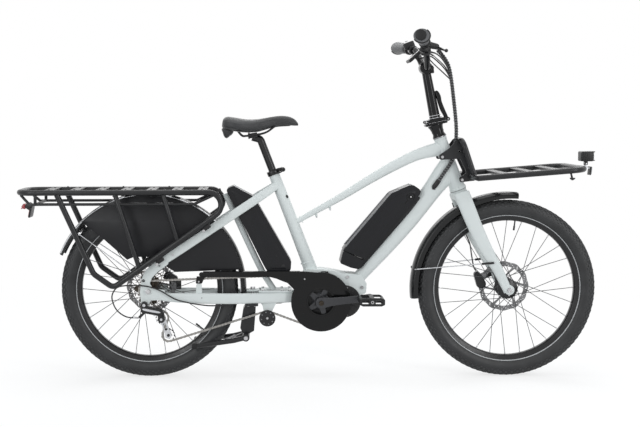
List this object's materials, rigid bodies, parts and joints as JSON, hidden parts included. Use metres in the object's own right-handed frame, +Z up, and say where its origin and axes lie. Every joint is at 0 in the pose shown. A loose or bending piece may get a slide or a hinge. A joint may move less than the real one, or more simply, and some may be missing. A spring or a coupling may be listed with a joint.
{
  "type": "electric bicycle",
  "caption": "Long-tail cargo electric bicycle with a central drive motor, chain drive, frame and tail batteries, front and rear carrier decks, disc brakes and a folding handlebar post.",
  "frame": {"origin": "on the ground under the middle of the whole bicycle's box, in its middle plane", "axes": "+X forwards, +Y to the rider's left, +Z up; the drive side is -Y"},
  "size_m": [2.0364, 0.6596, 1.1991],
  "materials": {
    "frame_paint": "gloss",
    "carrier_paint": "satin",
    "black_metal": "satin",
    "bare_metal": "satin",
    "chain_steel": "oiled",
    "axle_steel": "satin",
    "tyre": "matt",
    "grip_rubber": "matt",
    "saddle_cover": "matt",
    "battery_case": "satin",
    "black_plastic": "satin",
    "grey_plastic": "satin",
    "cable_cover": "satin"
  },
  "bodies": {
    "frame": {"front_frame": "frame_paint", "seat_tube": "frame_paint", "rear_frame_right": "frame_paint", "rear_frame_left": "frame_paint", "battery_tube": "frame_paint", "motor": "black_metal", "battery_dock": "black_plastic", "rear_battery": "battery_case", "chain_guard": "black_plastic", "chain": "chain_steel", "rack_side_right": "carrier_paint", "rack_side_left": "carrier_paint", "rack_deck": "carrier_paint", "rear_light": "black_plastic", "rear_fender": "black_plastic", "dress_guard_right": "black_plastic", "dress_guard_left": "black_plastic", "front_rack": "carrier_paint", "rear_caliper": "black_metal", "rear_axle": "axle_steel", "cable_bundle": "cable_cover", "rear_shift_cable": "cable_cover", "kickstand_mount": "carrier_paint", "derailleur_mount": "black_metal"},
    "main_battery": {"main_battery": "battery_case"},
    "kickstand": {"kickstand": "carrier_paint"},
    "seat_clamp_lever": {"seat_collar_lever": "black_metal"},
    "seat": {"seatpost": "black_metal", "saddle": "saddle_cover"},
    "headlight": {"headlight": "black_plastic"},
    "idler_wheel": {"idler_wheel": "black_plastic"},
    "steering": {"fork": "frame_paint", "front_fender": "black_plastic", "front_caliper": "black_metal", "front_axle": "axle_steel", "front_brake_hose": "cable_cover"},
    "handlepost": {"stem_post": "black_metal", "handlebar": "black_metal", "grip_right": "grip_rubber", "grip_left": "grip_rubber", "display": "black_plastic"},
    "stem_lever": {"stem_lever": "black_metal"},
    "brake_lever_right": {"brake_lever_right": "black_metal"},
    "brake_lever_left": {"brake_lever_left": "black_metal"},
    "shift_lever": {"shift_lever": "black_plastic"},
    "assist_button": {"assist_button": "grey_plastic"},
    "front_wheel": {"front_tyre": "tyre", "front_rim": "black_metal", "front_hub": "black_metal"},
    "rear_wheel": {"rear_tyre": "tyre", "rear_rim": "black_metal", "rear_hub": "black_metal"},
    "cassette": {"cassette": "chain_steel"},
    "crank": {"crank_right": "black_metal", "crank_left": "black_metal"},
    "pedal_right": {"pedal_right": "black_plastic"},
    "pedal_left": {"pedal_left": "black_plastic"},
    "derailleur_cage": {"derailleur_cage": "bare_metal"},
    "guide_pulley": {"guide_pulley": "black_plastic"},
    "tension_pulley": {"tension_pulley": "black_plastic"}
  },
  "joints": [
    {"name": "steering", "type": "hinge", "parent": "frame", "child": "steering", "pos_m": [0.49775, 0, 0.7556], "axis": [-0.3387, 0, 0.9409], "range_deg": [-65, 65], "deforming": ["cable_bundle"]},
    {"name": "handlepost_fold", "type": "hinge", "parent": "steering", "child": "handlepost", "pos_m": [0.41025, 0, 0.8962], "axis": [0, -1, 0], "range_deg": [0, 95], "deforming": ["cable_bundle"]},
    {"name": "post_latch", "type": "hinge", "parent": "handlepost", "child": "stem_lever", "pos_m": [0.49225, 0, 0.913], "axis": [0, 1, 0], "range_deg": [0, 75]},
    {"name": "right_brake", "type": "hinge", "parent": "handlepost", "child": "brake_lever_right", "pos_m": [0.42675, -0.158, 1.154], "axis": [0, 0, -1], "range_deg": [0, 14], "stiffness_Nm_per_rad": 2, "springref_deg": -11.46},
    {"name": "left_brake", "type": "hinge", "parent": "handlepost", "child": "brake_lever_left", "pos_m": [0.42675, 0.158, 1.154], "axis": [0, 0, 1], "range_deg": [0, 14], "stiffness_Nm_per_rad": 2, "springref_deg": -11.46},
    {"name": "shifter", "type": "hinge", "parent": "handlepost", "child": "shift_lever", "pos_m": [0.39375, -0.19, 1.13], "axis": [0, 1, 0], "range_deg": [0, 18], "stiffness_Nm_per_rad": 0.2, "springref_deg": -11.46},
    {"name": "assist_key", "type": "slide", "parent": "handlepost", "child": "assist_button", "axis": [0.342, 0, -0.9397], "range_m": [0, 0.001], "stiffness_N_per_m": 300, "springref_m": -0.001},
    {"name": "front_wheel_spin", "type": "hinge", "parent": "steering", "child": "front_wheel", "pos_m": [0.70475, 0, 0.3135], "axis": [0, 1, 0], "continuous": true},
    {"name": "rear_wheel_spin", "type": "hinge", "parent": "frame", "child": "rear_wheel", "pos_m": [-0.56225, 0, 0.3135], "axis": [0, 1, 0], "continuous": true},
    {"name": "crank_spin", "type": "hinge", "parent": "frame", "child": "crank", "pos_m": [0.04325, 0, 0.2735], "axis": [0, 1, 0], "continuous": true, "deforming": ["chain"]},
    {"name": "cassette_spin", "type": "hinge", "parent": "frame", "child": "cassette", "pos_m": [-0.56225, -0.049, 0.3135], "axis": [0, 1, 0], "continuous": true},
    {"name": "idler_spin", "type": "hinge", "parent": "frame", "child": "idler_wheel", "pos_m": [-0.14525, -0.049, 0.2145], "axis": [0, 1, 0], "continuous": true},
    {"name": "cage_swing", "type": "hinge", "parent": "frame", "child": "derailleur_cage", "pos_m": [-0.51625, -0.049, 0.217], "axis": [0, 1, 0], "range_deg": [-8, 8], "stiffness_Nm_per_rad": 2, "deforming": ["chain"]},
    {"name": "guide_pulley_spin", "type": "hinge", "parent": "derailleur_cage", "child": "guide_pulley", "pos_m": [-0.51625, -0.049, 0.217], "axis": [0, 1, 0], "continuous": true},
    {"name": "tension_pulley_spin", "type": "hinge", "parent": "derailleur_cage", "child": "tension_pulley", "pos_m": [-0.49431, -0.049, 0.15476], "axis": [0, 1, 0], "continuous": true},
    {"name": "right_pedal_spin", "type": "hinge", "parent": "crank", "child": "pedal_right", "pos_m": [0.21235, -0.143, 0.291], "axis": [0, 1, 0], "continuous": true},
    {"name": "left_pedal_spin", "type": "hinge", "parent": "crank", "child": "pedal_left", "pos_m": [-0.12585, 0.143, 0.256], "axis": [0, 1, 0], "continuous": true},
    {"name": "kickstand_fold", "type": "hinge", "parent": "frame", "child": "kickstand", "pos_m": [-0.22125, 0, 0.145], "axis": [0, -1, 0], "range_deg": [0, 110]},
    {"name": "seat_height", "type": "slide", "parent": "frame", "child": "seat", "axis": [-0.3335, 0, 0.9427], "range_m": [-0.095, 0.11]},
    {"name": "seat_clamp", "type": "hinge", "parent": "frame", "child": "seat_clamp_lever", "pos_m": [-0.08825, 0, 0.737], "axis": [0, -1, 0], "range_deg": [0, 60]},
    {"name": "headlight_tilt", "type": "hinge", "parent": "frame", "child": "headlight", "pos_m": [0.98075, 0, 0.753], "axis": [0, 1, 0], "range_deg": [-20, 20]},
    {"name": "battery_release", "type": "hinge", "parent": "frame", "child": "main_battery", "pos_m": [0.12475, 0, 0.453], "axis": [0, -1, 0], "range_deg": [0, 8]}
  ],
  "couplings": [
    {"joint": "cassette_spin", "follows": "crank_spin", "ratio": 2.8235},
    {"joint": "idler_spin", "follows": "crank_spin", "ratio": -4},
    {"joint": "guide_pulley_spin", "follows": "crank_spin", "ratio": -4.3636},
    {"joint": "tension_pulley_spin", "follows": "crank_spin", "ratio": 4.3636}
  ]
}
